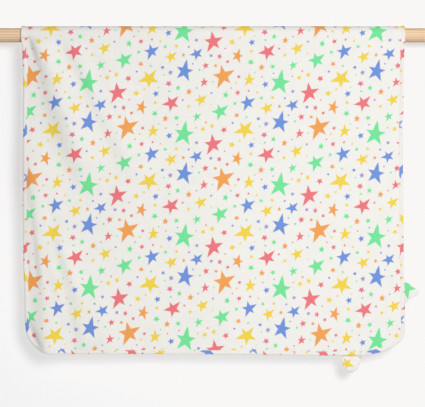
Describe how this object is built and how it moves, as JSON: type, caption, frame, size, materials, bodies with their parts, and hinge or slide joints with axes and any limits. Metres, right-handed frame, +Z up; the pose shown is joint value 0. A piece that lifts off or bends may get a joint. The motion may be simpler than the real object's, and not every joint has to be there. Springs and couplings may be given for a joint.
{
  "type": "hooded baby blanket on a rod",
  "caption": "Rounded-corner baby blanket folded over a plain round wooden rod, with a hood and small ears at one lower corner of the longer front flap.",
  "frame": {"origin": "on the rod's axis, at the middle of its length, where the rod is held", "axes": "+X along the rod to the viewer's right, -Y towards the viewer, so the longer flap with the hood hangs on the -Y side, +Z up"},
  "size_m": [0.9, 0.0534, 0.6776],
  "materials": {
    "rod_wood": "bare sanded pine",
    "blanket_cloth": "printed cotton jersey, off-white with tossed coloured stars",
    "binding_cloth": "the same printed jersey, cut as a strip",
    "hood_cloth": "the same printed jersey",
    "ear_cloth": "the same printed jersey, two layers"
  },
  "bodies": {
    "root": {"rod": "rod_wood", "blanket_body": "blanket_cloth", "edge_binding": "binding_cloth", "hood": "hood_cloth", "ear_bottom": "ear_cloth", "ear_side": "ear_cloth"}
  },
  "joints": []
}
